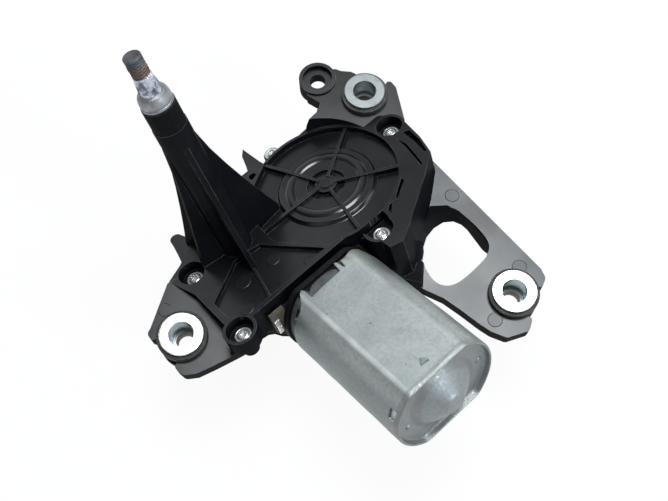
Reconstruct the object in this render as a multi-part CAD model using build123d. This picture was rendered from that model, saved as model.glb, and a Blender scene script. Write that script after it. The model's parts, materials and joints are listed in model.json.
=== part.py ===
from build123d import *
from math import acos, atan, atan2, cos, degrees, hypot, pi, radians, sin, sqrt, tan
import os

# Wiper motor: a worm gearmotor whose output spindle stands in a tall tower.
# Two frames are used. The mounting frame has +Z along the three fixing bushes and its origin in the seating
# ring of bush A. The gearbox frame is the same one turned about Y by mount_tilt, with +Z along the spindle.

# Driving dimensions, in millimetres and degrees

mount_tilt = 20.0
face_z = 4.0
deck_base_z = -24.0
case_base_z = -32.0
case_wall = 3.0
run_gap = 0.05
touch_gap = 0.3
overrun = 1.0

# Fixing bushes, in the mounting frame

bush_a = (0.0, 0.0)
bush_b = (-39.0, 154.0)
bush_c = (91.0, 130.2)
ring_r = 10.5
ring_t = 2.0
sleeve_r = 8.0
sleeve_length = 18.0
seat_bore_r = 6.0
seat_bore_depth = 11.5
bolt_hole_r = 4.35
grommet_r = 12.2
grommet_neck_r = 9.6
grommet_foot_t = 3.5
lug_top_z = -5.0
lug_t = 8.0
lug_reach = 15.0
horn_r = 2.6
seat_mouth_share = 0.84

# Gear train

gear_module = 1.08
wheel_teeth = 60
worm_pitch_r = 5.0
worm_turns = 7
wheel_t = 10.0
wheel_top_z = -12.0
mesh_backlash = 0.3
pinion_module = 1.5
pinion_teeth = 12
sector_teeth = 24
sector_gear_t = 5.0
sector_backlash = 0.35
sweep_half_deg = 55.0
axle_r = 3.0
crank_pin_r = 3.0
keeper_t = 1.5

# Case in plan: its outlines are shares of case_span, which follows from the dish over the worm wheel

wheel_pitch_r = gear_module * wheel_teeth / 2
wheel_tip_r = wheel_pitch_r + gear_module
dish_room = 4.32
dish_r = wheel_tip_r + dish_room
dish_share = 0.378
case_span = dish_r / dish_share

# Spindle and its tower

spindle_share = (-0.18, 0.491)
tower_r = 7.9
neck_step = 0.3
neck_length = 12.0
tower_top_z = 100.0
spindle_r = 5.0
journal_r = 4.0
bush_wall = 2.0
bush_length = 14.5
cap_rim_r = 7.3
cap_top_r = 5.5
cap_h = 7.0
taper_h = 8.7
taper_foot_r = 4.75
thread_r = 4.0
thread_h = 9.3

# Motor

core_r = 17.0
core_room = 3.5
magnet_gap = 0.8
magnet_t = 8.4
can_wall = 1.8
can_half_width = core_r + magnet_gap + magnet_t + can_wall
can_half_height = core_r + core_room + can_wall
can_flat_half = 15.5
can_length = 77.5
can_bend_r = 4.0
can_rim_depth = 3.0
flange_t = 7.6
end_plate_t = 2.6
card_t = 2.2
shaft_r = 4.0
core_length = can_length * 0.465
core_start = can_length * 0.284
commutator_r = 9.0
commutator_length = can_length * 0.129
winding_h = can_length * 0.09

# Screws

screw_head_r = 3.95
screw_head_h = 2.6
screw_shank_r = 2.0
screw_seat_z = -2.4
screw_pocket_r = 6.8
deep_pocket_r = 6.9
screw_boss_wall = 1.5
screw_fit = 0.02
screw_foot_r = screw_shank_r + case_wall
side_column_r = 4.2
side_column_drop = 10.6
side_pocket_drop = 2.4

# Worked-out sizes shared by several pieces

wheel_share = (-0.133, 1.033)
wheel_x = case_span * wheel_share[0]
wheel_y = case_span * wheel_share[1]
tower_x = case_span * spindle_share[0]
tower_y = case_span * spindle_share[1]
worm_y = wheel_y - wheel_pitch_r - worm_pitch_r
worm_z = wheel_top_z - wheel_t / 2
chamber_r = wheel_tip_r + 6 * touch_gap
dish_rim_t = 1.4
dish_depth = 3.8
dish_floor_z = face_z - dish_depth
roof_t = 4.7
roof_z = dish_floor_z - roof_t
motor_wall_share = 0.224
motor_wall_x = case_span * motor_wall_share
can_front_x = motor_wall_x + flange_t
can_tail_x = can_front_x + can_length
end_plate_x = can_front_x - end_plate_t
card_x = end_plate_x - card_t
lug_base_z = lug_top_z - lug_t
sector_top_z = wheel_top_z - wheel_t - crank_pin_r * 0.8
sector_base_z = sector_top_z - sector_gear_t
side_column_z = screw_seat_z - side_column_drop
keeper_top_z = sector_base_z - touch_gap
keeper_base_z = keeper_top_z - keeper_t
pinion_r = pinion_module * pinion_teeth / 2
sector_r = pinion_module * sector_teeth / 2
rocker_length = pinion_r + sector_r
crank_throw = rocker_length * sin(radians(sweep_half_deg / 3))
crank_x = wheel_x + crank_throw
crank_y = wheel_y
reach = hypot(crank_x - tower_x, crank_y - tower_y)
rocker_angle = degrees(atan2(crank_y - tower_y, crank_x - tower_x) - acos(rocker_length / reach))
sector_x = tower_x + rocker_length * cos(radians(rocker_angle))
sector_y = tower_y + rocker_length * sin(radians(rocker_angle))
bush_r = spindle_r + run_gap + bush_wall
lower_bush_base_z = sector_top_z + touch_gap
upper_bush_top_z = tower_top_z - 4.0
cap_base_z = tower_top_z + touch_gap
cap_top_z = cap_base_z + cap_h
thread_base_z = cap_top_z + taper_h
spindle_tip_z = thread_base_z + thread_h

# Shallow cuts in the deck outside the dish: an outer pocket, a groove and two slivers along the rim

deck_cut_shares = [
    [(-0.06, 1.505), (-0.04, 1.535), (0.05, 1.522), (0.14, 1.49), (0.13, 1.475), (0.04, 1.495)],
    [(-0.05, 1.455), (0.02, 1.445), (0.10, 1.428), (0.18, 1.406), (0.185, 1.418), (0.10, 1.44), (0.02, 1.46)],
    [(0.165, 1.29), (0.19, 1.286), (0.245, 1.195), (0.25, 1.175), (0.225, 1.20)],
    [(0.243, 1.165), (0.26, 1.14), (0.295, 1.105), (0.27, 1.108), (0.246, 1.13)],
]
bay_shares = [(0.245, 0.925), (0.245, 1.092), (0.29, 1.085), (0.34, 1.06), (0.375, 1.02), (0.385, 0.972)]

# Screws: three stand off the dish's wall in these directions, two stand at the ends of the panel

dish_screw_degs = [92.1, -3.0, 183.9]
screw_stand = 6.8
top_screw_stand = 8.2
panel_screw_shares = [(-0.224, 0.233), (0.235, 0.205)]

# Outlines in the gearbox frame, as shares of the case span

deck_shares = [
    (0.224, 0.27),
    (0.224, 0.955),
    (0.44, 0.965),
    (0.46, 1.03),
    (0.41, 1.12),
    (0.375, 1.17),
    (0.338, 1.23),
    (0.248, 1.372),
    (0.158, 1.497),
    (0.04, 1.536),
    (-0.10, 1.562),
    (-0.24, 1.52),
    (-0.40, 1.36),
    (-0.48, 1.20),
    (-0.50, 0.93),
    (-0.45, 0.76),
    (-0.45, 0.44),
    (-0.31, 0.22),
    (-0.27, 0.125),
    (-0.10, 0.17),
    (0.15, 0.17),
]
step_shares = [(0.05, 0.24), (0.065, 0.26), (0.08, 0.34), (0.10, 0.365), (0.14, 0.383), (0.185, 0.42), (0.224, 0.46)]
corner_shares = [(0.30, 0.46), (0.30, 0.10), (0.05, 0.10)]
case_shares = [(0.224, 0.925), (-0.50, 0.93), (-0.45, 0.76), (-0.45, 0.44), (-0.31, 0.22), (-0.10, 0.17)]
panel_shares = [(-0.09, 0.56), (0.195, 0.765), (0.203, 0.27), (0.14, 0.205), (0.02, 0.205), (-0.105, 0.42)]
web_shares = [
    (-0.24, 1.50),
    (-0.45, 1.42),
    (-0.60, 1.394),
    (-0.572, 1.343),
    (-0.533, 1.293),
    (-0.51, 1.214),
    (-0.505, 1.15),
    (-0.40, 1.15),
]
dish_tail_shares = [(-0.505, 0.92), (-0.40, 0.745), (-0.30, 0.64), (-0.06, 0.625), (-0.02, 0.635), (0.20, 0.79), (0.21, 1.0)]
linkage_shares = [
    (-0.35, 0.42),
    (-0.28, 0.32),
    (-0.16, 0.295),
    (0.0, 0.275),
    (0.045, 0.28),
    (0.055, 0.36),
    (0.085, 0.39),
    (0.125, 0.405),
    (0.16, 0.44),
    (0.19, 0.50),
    (0.19, 0.92),
    (-0.35, 0.92),
]
root_shares = [(0.224, 0.955), (0.46, 0.975), (0.54, 1.01), (0.46, 1.10), (0.30, 1.12)]

spike_shares = [
    (-0.49, 0.94),
    (-0.59, 0.925),
    (-0.75, 0.92),
    (-0.71, 0.885),
    (-0.63, 0.855),
    (-0.595, 0.84),
    (-0.595, 0.79),
    (-0.46, 0.775),
]
hook_shares = [(-0.45, 0.37), (-0.54, 0.34), (-0.53, 0.28), (-0.44, 0.26), (-0.36, 0.24), (-0.36, 0.37)]

# Outlines in the mounting frame

lug_a_case_shares = [(0.245, 0.17), (0.20, 0.26), (-0.24, 0.26), (-0.265, 0.115)]
lug_a_shares = [(-0.92, -0.60), (-0.86, -0.78), (-0.62, -0.80), (0.72, -0.80), (0.98, -0.76), (1.22, -0.42), (1.40, 0.20)]
lug_b_case_shares = [(-0.49, 1.30), (-0.48, 1.18), (-0.25, 1.25), (-0.10, 1.42), (-0.13, 1.588)]
lug_b_shares = [
    (0.50, 1.06),
    (0.10, 1.10),
    (-0.87, 0.40),
    (-1.07, 0.33),
    (-1.33, 0.10),
    (-1.60, -0.03),
    (-1.63, -0.77),
    (-1.53, -1.50),
    (-0.87, -1.33),
]
arm_case_shares = [(0.60, 1.007), (0.48, 0.985), (0.30, 1.00), (0.10, 1.40), (0.10, 1.532)]
arm_c_shares = [
    (0.0, 1.30),
    (0.32, 1.18),
    (0.44, 0.92),
    (1.02, -0.22),
    (1.18, -0.50),
    (0.87, -1.18),
    (0.40, -1.40),
    (0.0, -1.49),
    (-0.73, -1.59),
    (-1.40, -1.71),
]
window_shares = [
    (0.30, 1.30),
    (0.36, 1.39),
    (0.40, 1.42),
    (0.45, 1.428),
    (0.60, 1.423),
    (0.655, 1.402),
    (0.683, 1.36),
    (0.692, 1.30),
    (0.692, 1.18),
    (0.67, 1.11),
    (0.625, 1.078),
    (0.57, 1.078),
    (0.50, 1.10),
    (0.36, 1.20),
]


def spread(shares):
    return [(case_span * x, case_span * y) for x, y in shares]


def about(centre, size, shares):
    return [(centre[0] + size * x, centre[1] + size * y) for x, y in shares]


def outline(points):
    return make_face(Polyline(*points, close=True))


def prism(face, low, high):
    return Pos(0, 0, low) * extrude(face, high - low)


def rod(place, low, high, radius):
    return Pos(place[0], place[1], low) * Cylinder(radius, high - low, align=(Align.CENTER, Align.CENTER, Align.MIN))


def tube(place, low, high, outer, inner):
    return rod(place, low, high, outer) - rod(place, low - overrun, high + overrun, inner)


def bar_x(low, high, radius):
    # Round bar on the motor axis, along X.
    return Pos(low, worm_y, worm_z) * Rot(0, 90, 0) * Cylinder(radius, high - low, align=(Align.CENTER, Align.CENTER, Align.MIN))


def ring_x(low, high, outer, inner):
    return bar_x(low, high, outer) - bar_x(low - overrun, high + overrun, inner)


def motor_prism(face, low, high):
    # A face drawn across the motor, with its own x along Y and its own y along Z.
    plane = Plane(origin=(low, worm_y, worm_z), x_dir=(0, 1, 0), z_dir=(1, 0, 0))
    return extrude(plane * face, high - low)


def from_gearbox(shape):
    return Rot(0, -mount_tilt, 0) * shape


def to_gearbox(shape):
    return Rot(0, mount_tilt, 0) * shape


tower = (tower_x, tower_y)
wheel = (wheel_x, wheel_y)


def dish_screw(direction, stand):
    out = dish_r + stand
    return (wheel_x + out * cos(radians(direction)), wheel_y + out * sin(radians(direction)))


screws = [dish_screw(dish_screw_degs[0], top_screw_stand), dish_screw(dish_screw_degs[1], screw_stand)]
screws += spread(panel_screw_shares)
screws += [dish_screw(dish_screw_degs[2], screw_stand)]
side_screw = screws[3]
cover_places = screws[:3] + screws[4:]

# Gear tooth forms

pressure_deg = 20.0
addendum_share = 0.85
dedendum_share = 1.15
flank_steps = 2


def involute(base_r, radius):
    # Polar angle gained by an involute from its base circle out to radius.
    turn = sqrt(max((radius / base_r) ** 2 - 1, 0))
    return turn - atan(turn)


def gear_points(teeth, module, backlash, count):
    # Outline of count teeth, spread evenly to both sides of the +X axis, each flank an involute.
    pitch_r = module * teeth / 2
    base_r = pitch_r * cos(radians(pressure_deg))
    tip_r = pitch_r + module * addendum_share
    root_r = pitch_r - module * dedendum_share
    start_r = max(base_r, root_r)
    half = pi / (2 * teeth) - backlash / (2 * pitch_r) + involute(base_r, pitch_r)
    radii = [start_r + (tip_r - start_r) * k / flank_steps for k in range(flank_steps + 1)]
    points = []
    for tooth in range(count):
        middle = 2 * pi * (tooth - (count - 1) / 2) / teeth
        rising = [(r, middle - half + involute(base_r, r)) for r in radii]
        falling = [(r, middle + half - involute(base_r, r)) for r in reversed(radii)]
        points += [(root_r, middle - half)] + rising + falling + [(root_r, middle + half)]
    return [(r * cos(a), r * sin(a)) for r, a in points]


# Case

dish_rib_degs = [54.0, 124.0, 199.0, 268.0, 347.0]
dish_rib_t = 1.6
dish_rib_top_z = face_z - 0.8
dish_step_r = 24.5
dish_core_r = 10.0
dish_step_h = 1.6
hub_pin_r = 3.2
hub_ring_r = 5.6
panel_depth = 2.6
panel_rib_t = 1.2
gusset_t = 2.6
gusset_top_z = 78.0
gusset_curve = 1.25
gusset_steps = 5
gusset_degs = [100.0, 160.0, 215.0, 262.0, -8.0]
gusset_reach_shares = [0.30, 0.17, 0.28, 0.20, 0.186]
ear_share = (-1.63, -0.77)
ear_r = 9.9
ear_rim_t = 1.9
ear_rim_h = 1.6
ear_hole_r = 4.3
ear_recess_r = ear_r - ear_rim_t
flange_top_z = -5.0
flange_base_z = -38.0
worm_tunnel_r = 7.0
tunnel_end_share = -0.42
tower_boss_r = 9.2


def dish(case):
    # The round recess over the worm wheel, with its raised ring and five ribs.
    floor = Circle(dish_r)
    tail = outline(spread(dish_tail_shares))
    recess = prism(Pos(*wheel) * floor + tail, dish_floor_z, face_z + overrun)
    ribs = rod(wheel, dish_floor_z, dish_floor_z + dish_step_h, dish_step_r)
    ribs -= rod(wheel, dish_floor_z - overrun, face_z, dish_core_r)
    ribs += rod(wheel, dish_floor_z - overrun / 2, dish_rib_top_z - dish_step_h / 2, hub_ring_r)
    ribs += rod(wheel, dish_floor_z - overrun / 2, dish_rib_top_z, hub_pin_r)
    for turn in dish_rib_degs:
        rib = Pos((hub_pin_r + hub_ring_r) / 2, 0) * Rectangle(dish_r, dish_rib_t, align=(Align.MIN, Align.CENTER))
        ribs += prism(Pos(*wheel) * Rot(0, 0, turn) * rib, dish_floor_z - overrun / 2, dish_rib_top_z)
    return case - recess + (ribs & prism(outline(spread(deck_shares)), deck_base_z, face_z))


def panel(case):
    # The shallow pocket between the tower and the motor, crossed by one rib.
    recess = prism(outline(spread(panel_shares)), face_z - panel_depth, face_z + overrun)
    start, end = spread([(-0.10, 0.485), (0.205, 0.41)])
    middle = ((start[0] + end[0]) / 2, (start[1] + end[1]) / 2)
    length = hypot(end[0] - start[0], end[1] - start[1])
    turn = degrees(atan2(end[1] - start[1], end[0] - start[0]))
    rib = Pos(*middle) * Rot(0, 0, turn) * Rectangle(length, panel_rib_t)
    return case - recess + prism(rib, face_z - panel_depth - overrun, face_z - panel_depth / 3)


def deck_cuts(case):
    # Thin pockets that keep the moulding's walls even, and the bay around the screw beside the motor.
    for shares in deck_cut_shares:
        case -= prism(outline(spread(shares)), dish_floor_z, face_z + overrun)
    return case - prism(outline(spread(bay_shares)), screw_seat_z, face_z + overrun)


def gusset_slope(foot):
    # Hollow outer edge of a gusset, from its foot on the deck up to the tube.
    shares = [k / gusset_steps for k in range(gusset_steps + 1)]
    rise = gusset_top_z - face_z
    return [(tower_r + (foot - tower_r) * (1 - s) ** gusset_curve, face_z + rise * s) for s in shares]


def tower_tube():
    tube_solid = rod(tower, roof_z, tower_top_z - neck_length, tower_r)
    tube_solid += rod(tower, roof_z, tower_top_z, tower_r - neck_step)
    tube_solid += rod(tower, lower_bush_base_z, roof_z + overrun, tower_boss_r)
    for turn, share in zip(gusset_degs, gusset_reach_shares):
        foot = case_span * share
        corner = [(0, roof_z), (foot, roof_z)] + gusset_slope(foot) + [(0, gusset_top_z)]
        plane = Plane(origin=(*tower, 0), x_dir=(cos(radians(turn)), sin(radians(turn)), 0), z_dir=(sin(radians(turn)), -cos(radians(turn)), 0))
        blade = extrude(plane * outline(corner), gusset_t / 2, both=True)
        tube_solid += blade
    return tube_solid


def tower_bores():
    bore = rod(tower, lower_bush_base_z - overrun, tower_top_z + overrun, spindle_r + 4 * run_gap + touch_gap)
    bore += rod(tower, lower_bush_base_z - overrun, lower_bush_base_z + bush_length, bush_r)
    bore += rod(tower, upper_bush_top_z - bush_length, tower_top_z + overrun, bush_r - case_wall / 6)
    return bore


def pocket_r(place):
    # The screw beside lug B sits in a wider pocket than the others.
    return deep_pocket_r if place == screws[0] else screw_pocket_r


def screw_web(place):
    # Flat web from the gear chamber's wall out to one screw.
    length = hypot(place[0] - wheel_x, place[1] - wheel_y)
    turn = degrees(atan2(place[1] - wheel_y, place[0] - wheel_x))
    strip = Rectangle(length, 2 * screw_shank_r + case_wall, align=(Align.MIN, Align.CENTER))
    return Pos(*wheel) * Rot(0, 0, turn) * strip


def screw_feet():
    # Outline of the screw bosses at the case's lower edge.
    feet = Pos(*cover_places[0]) * Circle(screw_foot_r)
    for place in cover_places[1:]:
        feet += Pos(*place) * Circle(screw_foot_r)
    for place in (screws[0], screws[1], screws[4]):
        feet += screw_web(place)
    return feet


def bosses():
    solid = prism(screw_feet(), case_base_z, deck_base_z + overrun)
    for place in screws[:3]:
        solid += rod(place, deck_base_z, face_z, pocket_r(place) + screw_boss_wall)
    solid += rod(side_screw, screw_seat_z - side_pocket_drop, face_z, screw_pocket_r + screw_boss_wall)
    solid += rod(side_screw, side_column_z, screw_seat_z, side_column_r)
    lone = Pos(*screws[4]) * Circle(screw_foot_r) + screw_web(screws[4])
    return solid + prism(lone, case_base_z, screw_seat_z)


def screw_holes():
    holes = Part()
    for place in cover_places:
        holes += rod(place, case_base_z - overrun, face_z, screw_shank_r + screw_fit)
    holes += rod(side_screw, side_column_z + case_wall / 2, face_z, screw_shank_r + screw_fit)
    for place in screws[:4]:
        holes += rod(place, screw_seat_z, face_z + overrun, pocket_r(place))
    return holes


def gear_chamber():
    # Everything hollow below the roof: the wheel, the worm and the linkage.
    hollow = rod(wheel, case_base_z - overrun, roof_z, chamber_r)
    hollow -= rod(wheel, wheel_top_z + touch_gap, roof_z + overrun, axle_r + case_wall)
    hollow += prism(outline(spread(linkage_shares)), case_base_z - overrun, lower_bush_base_z)
    hollow += bar_x(case_span * tunnel_end_share, can_front_x + overrun, worm_tunnel_r)
    return hollow


def motor_flange():
    # The block that the can is bolted to; it hangs below the case only in front of the cover's edge.
    inner = motor_prism(can_section(0), motor_wall_x - case_wall, end_plate_x)
    outer = motor_prism(can_section(0), motor_wall_x + case_wall / 2, end_plate_x)
    whole = Pos(motor_wall_x, worm_y, 0)
    above = (Align.CENTER, Align.CENTER, Align.MIN)
    inner &= whole * Pos(0, 0, case_base_z) * Box(case_span, case_span, flange_top_z - case_base_z, align=above)
    outer &= whole * Pos(0, 0, flange_base_z) * Box(case_span, case_span, flange_top_z - flange_base_z, align=above)
    return inner + outer


small_ear_top_z = -2.0
small_ear_t = 4.0
spike_hole_share = (-0.54, 0.834)
spike_hole_r = 2.2
hook_end_share = (-0.53, 0.31)
hook_r = 3.2


def small_ears():
    # A pointed tab with a hole and a rounded hook, both on the side away from the motor.
    low = small_ear_top_z - small_ear_t
    hole = spread([spike_hole_share])[0]
    spike = prism(outline(spread(spike_shares)), low, small_ear_top_z)
    spike -= rod(hole, low - overrun, small_ear_top_z + overrun, spike_hole_r)
    hook = outline(spread(hook_shares)) + Pos(*spread([hook_end_share])[0]) * Circle(hook_r)
    return spike + prism(hook, low, small_ear_top_z)


def rounded(face, radius):
    # Rounds every outer corner of a flat outline.
    return offset(offset(face, -radius), radius)


def lug(points, centre, open_deg):
    # A fork lug: a plate with a round seat that opens outward between two rounded horns.
    face = rounded(outline(points), horn_r)
    channel = Rectangle(2 * lug_reach, 2 * grommet_neck_r * seat_mouth_share, align=(Align.MIN, Align.CENTER))
    face -= Pos(*centre) * Circle(grommet_neck_r)
    face -= Pos(*centre) * Rot(0, 0, open_deg) * channel
    return prism(rounded(face, horn_r * 0.7), lug_base_z, lug_top_z)


def lugs():
    a = lug(about(bush_a, lug_reach, lug_a_shares) + spread(lug_a_case_shares), bush_a, -90.0)
    b = lug(about(bush_b, lug_reach, lug_b_shares) + spread(lug_b_case_shares), bush_b, 117.0)
    c = lug(about(bush_c, lug_reach, arm_c_shares) + spread(arm_case_shares), bush_c, 27.0)
    window = make_face(Spline(*spread(window_shares), periodic=True))
    c -= prism(window, lug_base_z - overrun, lug_top_z + overrun)
    return a, b, c


def ear():
    place = about(bush_b, lug_reach, [ear_share])[0]
    solid = rod(place, lug_base_z, lug_top_z + ear_rim_h, ear_r)
    solid -= rod(place, lug_top_z, lug_top_z + ear_rim_h + overrun, ear_r - ear_rim_t)
    cut = rod(place, lug_top_z - ear_rim_h, lug_top_z + overrun, ear_recess_r)
    return solid, cut + rod(place, lug_base_z - overrun, lug_top_z, ear_hole_r)


def gear_housing():
    deck = prism(outline(spread(deck_shares)), deck_base_z, face_z)
    case = deck + prism(outline(spread(step_shares + case_shares)), case_base_z, deck_base_z + overrun)
    case += prism(rounded(outline(spread(web_shares)), horn_r / 2), face_z - lug_t, face_z)
    case += rod(wheel, case_base_z, face_z, dish_r + dish_rim_t)
    case += bosses()
    case -= prism(outline(spread(step_shares + corner_shares)), case_base_z - overrun, side_column_z)
    case = dish(case)
    case = deck_cuts(panel(case))
    case += prism(outline(spread(root_shares)), case_base_z, deck_base_z + case_wall)
    case += motor_flange() + small_ears()
    a, b, c = lugs()
    ear_solid, ear_cut = ear()
    case += to_gearbox(a)
    case += to_gearbox(c)
    case += to_gearbox(b) - rod(wheel, case_base_z, face_z + case_span, dish_r + dish_rim_t)
    case += to_gearbox(ear_solid)
    case += tower_tube()
    case -= to_gearbox(ear_cut)
    for place, open_deg in ((bush_a, -90.0), (bush_b, 117.0), (bush_c, 27.0)):
        clear = rod(place, lug_top_z, face_z + case_span, grommet_r + touch_gap)
        clear += rod(place, lug_base_z - case_span, lug_base_z, grommet_r + touch_gap)
        clear += rod(place, lug_base_z - overrun, lug_top_z + overrun, grommet_neck_r)
        case -= to_gearbox(clear)
    case -= gear_chamber()
    case -= tower_bores()
    case -= motor_prism(card_face(0), card_x, end_plate_x + overrun)
    case -= motor_prism(can_section(-2 * touch_gap), end_plate_x, can_tail_x)
    case -= screw_holes()
    case -= rod(wheel, roof_z - case_span, dish_floor_z - case_wall / 2, axle_r)
    return case


# Rear cover and gasket

cover_t = 2.5
gasket_t = 0.5
cover_boss_h = 6.0
cover_base_z = case_base_z - gasket_t - cover_t


def cover_face():
    return outline(spread(step_shares + case_shares)) + Pos(*wheel) * Circle(dish_r + dish_rim_t) + screw_feet()


def rear_cover():
    solid = prism(cover_face(), cover_base_z, case_base_z - gasket_t)
    for place in cover_places:
        solid += rod(place, cover_base_z - cover_boss_h, cover_base_z + overrun, screw_foot_r)
        solid -= rod(place, cover_base_z - cover_boss_h / 2, case_base_z, screw_shank_r + screw_fit)
    return solid


def cover_gasket():
    hole = Pos(*wheel) * Circle(chamber_r) + outline(spread(linkage_shares))
    solid = prism(cover_face() - hole, case_base_z - gasket_t, case_base_z)
    for place in cover_places:
        solid -= rod(place, case_base_z - overrun, case_base_z + overrun, screw_shank_r + screw_fit)
    return solid


def cover_screws():
    solids = []
    for place in screws:
        foot = cover_base_z - cover_boss_h / 2 + touch_gap
        if place == side_screw:
            foot = side_column_z + case_wall / 2 + touch_gap
        head = rod(place, screw_seat_z, screw_seat_z + screw_head_h, screw_head_r)
        rim = head.faces().sort_by(Axis.Z)[-1].edges()
        head = chamfer(rim, screw_head_h * 0.3)
        solids.append(head + rod(place, foot, screw_seat_z + overrun, screw_shank_r))
    return Compound(solids)


# Bushes

def sleeve(place):
    solid = rod(place, -ring_t, 0, ring_r) + rod(place, -sleeve_length, -ring_t, sleeve_r)
    solid -= rod(place, -seat_bore_depth, overrun, seat_bore_r)
    return solid - rod(place, -sleeve_length - overrun, overrun, bolt_hole_r)


def grommet(place):
    solid = rod(place, lug_top_z, -ring_t, grommet_r)
    solid += rod(place, lug_base_z, lug_top_z, grommet_neck_r)
    solid += rod(place, lug_base_z - grommet_foot_t, lug_base_z, grommet_r)
    return solid - rod(place, -case_span, overrun, sleeve_r)


# Spindle train

def output_spindle():
    solid = rod(tower, keeper_base_z, sector_base_z, journal_r)
    solid += rod(tower, sector_base_z, cap_top_z, spindle_r)
    cone = Cone(taper_foot_r, thread_r, taper_h, align=(Align.CENTER, Align.CENTER, Align.MIN))
    solid += Pos(*tower, cap_top_z) * cone
    return solid + rod(tower, thread_base_z, spindle_tip_z, thread_r)


def spindle_cap():
    rim = cap_h * 0.25
    profile = [
        (spindle_r, cap_base_z),
        (cap_rim_r, cap_base_z),
        (cap_rim_r, cap_base_z + rim),
        (cap_top_r, cap_top_z),
        (spindle_r, cap_top_z),
    ]
    face = Plane.XZ * outline(profile)
    return Pos(*tower) * revolve(face, Axis.Z)


def spindle_pinion():
    face = outline(gear_points(pinion_teeth, pinion_module, sector_backlash, pinion_teeth))
    place = Pos(*tower) * Rot(0, 0, rocker_angle)
    return prism(place * face, sector_base_z, sector_top_z) - rod(tower, sector_base_z - overrun, face_z, spindle_r)


sector_span_teeth = 7
sector_hub_r = 6.5
link_half_width = 4.5
eye_r = 5.6


def sector_link():
    # Toothed sector and its connecting arm, in one plate.
    teeth = gear_points(sector_teeth, pinion_module, sector_backlash, sector_span_teeth)
    place = Pos(sector_x, sector_y) * Rot(0, 0, rocker_angle + 180)
    face = place * outline([(0, 0)] + teeth) + Pos(sector_x, sector_y) * Circle(sector_hub_r)
    length = hypot(crank_x - sector_x, crank_y - sector_y)
    turn = degrees(atan2(crank_y - sector_y, crank_x - sector_x))
    arm = Pos((crank_x + sector_x) / 2, (crank_y + sector_y) / 2) * Rot(0, 0, turn) * Rectangle(length, 2 * link_half_width)
    face += arm + Pos(crank_x, crank_y) * Circle(eye_r)
    solid = prism(face, sector_base_z, sector_top_z)
    solid -= rod((crank_x, crank_y), sector_base_z - overrun, face_z, crank_pin_r + run_gap)
    return solid - rod((sector_x, sector_y), sector_base_z - overrun, face_z, axle_r + run_gap)


def keeper_plate():
    arm = Pos((tower_x + sector_x) / 2, (tower_y + sector_y) / 2) * Rot(0, 0, rocker_angle) * Rectangle(rocker_length, 2 * axle_r + case_wall)
    face = arm + Pos(*tower) * Circle(journal_r + case_wall) + Pos(sector_x, sector_y) * Circle(axle_r + case_wall)
    solid = prism(face, keeper_base_z, keeper_top_z) - rod(tower, case_base_z, face_z, journal_r + run_gap)
    return solid - rod((sector_x, sector_y), case_base_z, face_z, axle_r)


def sector_pin():
    return rod((sector_x, sector_y), keeper_base_z, sector_top_z, axle_r)


# Worm wheel

wheel_web_t = 3.5
wheel_rim_t = 4.0
wheel_hub_r = 7.0
park_disc_t = 0.6


def worm_wheel():
    # Helical teeth: the rim is one profile turned as it rises, so its slant matches the worm's lead.
    lead_angle = atan(gear_module / (2 * worm_pitch_r))
    twist = degrees(wheel_t * tan(lead_angle) / wheel_pitch_r)
    face = outline(gear_points(wheel_teeth, gear_module, mesh_backlash, wheel_teeth))
    section = (Rot(0, 0, -90 - twist / 2) * face).faces()[0]
    rim = Solid.extrude_linear_with_rotation(section, (0, 0, 0), (0, 0, wheel_t), twist)
    rim = Pos(*wheel, wheel_top_z - wheel_t) * rim
    web_z = worm_z - wheel_web_t / 2
    inner = wheel_pitch_r - wheel_rim_t
    for low, high in ((wheel_top_z - wheel_t - overrun, web_z), (web_z + wheel_web_t, wheel_top_z + overrun)):
        rim -= tube(wheel, low, high, inner, wheel_hub_r)
    rim += rod((crank_x, crank_y), wheel_top_z - wheel_t, web_z + overrun, crank_pin_r + case_wall)
    rim -= rod((crank_x, crank_y), wheel_top_z - wheel_t - overrun, web_z, crank_pin_r)
    return rim - rod(wheel, case_base_z, face_z, axle_r + run_gap)


def crank_pin():
    return rod((crank_x, crank_y), sector_top_z + touch_gap, worm_z - wheel_web_t / 2, crank_pin_r)


def park_disc():
    web_top = worm_z + wheel_web_t / 2
    inner = wheel_pitch_r - wheel_rim_t
    return tube(wheel, web_top, web_top + park_disc_t, inner - touch_gap, wheel_hub_r + touch_gap)


def wheel_axle():
    solid = rod(wheel, wheel_top_z - wheel_t - touch_gap, dish_floor_z - case_wall / 2, axle_r)
    return solid


clip_t = 0.8


def axle_clip():
    low = wheel_top_z - wheel_t - touch_gap - clip_t
    return rod(wheel, low, low + clip_t, axle_r + overrun)


# Motor pieces

def can_section(inset):
    half_w = can_half_width - inset
    half_h = can_half_height - inset
    half_f = can_flat_half
    right = ThreePointArc((half_f, -half_h), (half_w, 0), (half_f, half_h))
    left = ThreePointArc((-half_f, half_h), (-half_w, 0), (-half_f, -half_h))
    top = Line((half_f, half_h), (-half_f, half_h))
    bottom = Line((-half_f, -half_h), (half_f, -half_h))
    face = make_face([right, top, left, bottom])
    return fillet(face.vertices(), can_bend_r - inset)


dome_foot_r = 19.0
dome_top_r = 8.9
dome_nub_r = 4.0
dome_nub_h = 1.0
dome_h = 5.0
tail_bearing_r = 7.0
tail_bearing_length = 7.0


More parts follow.
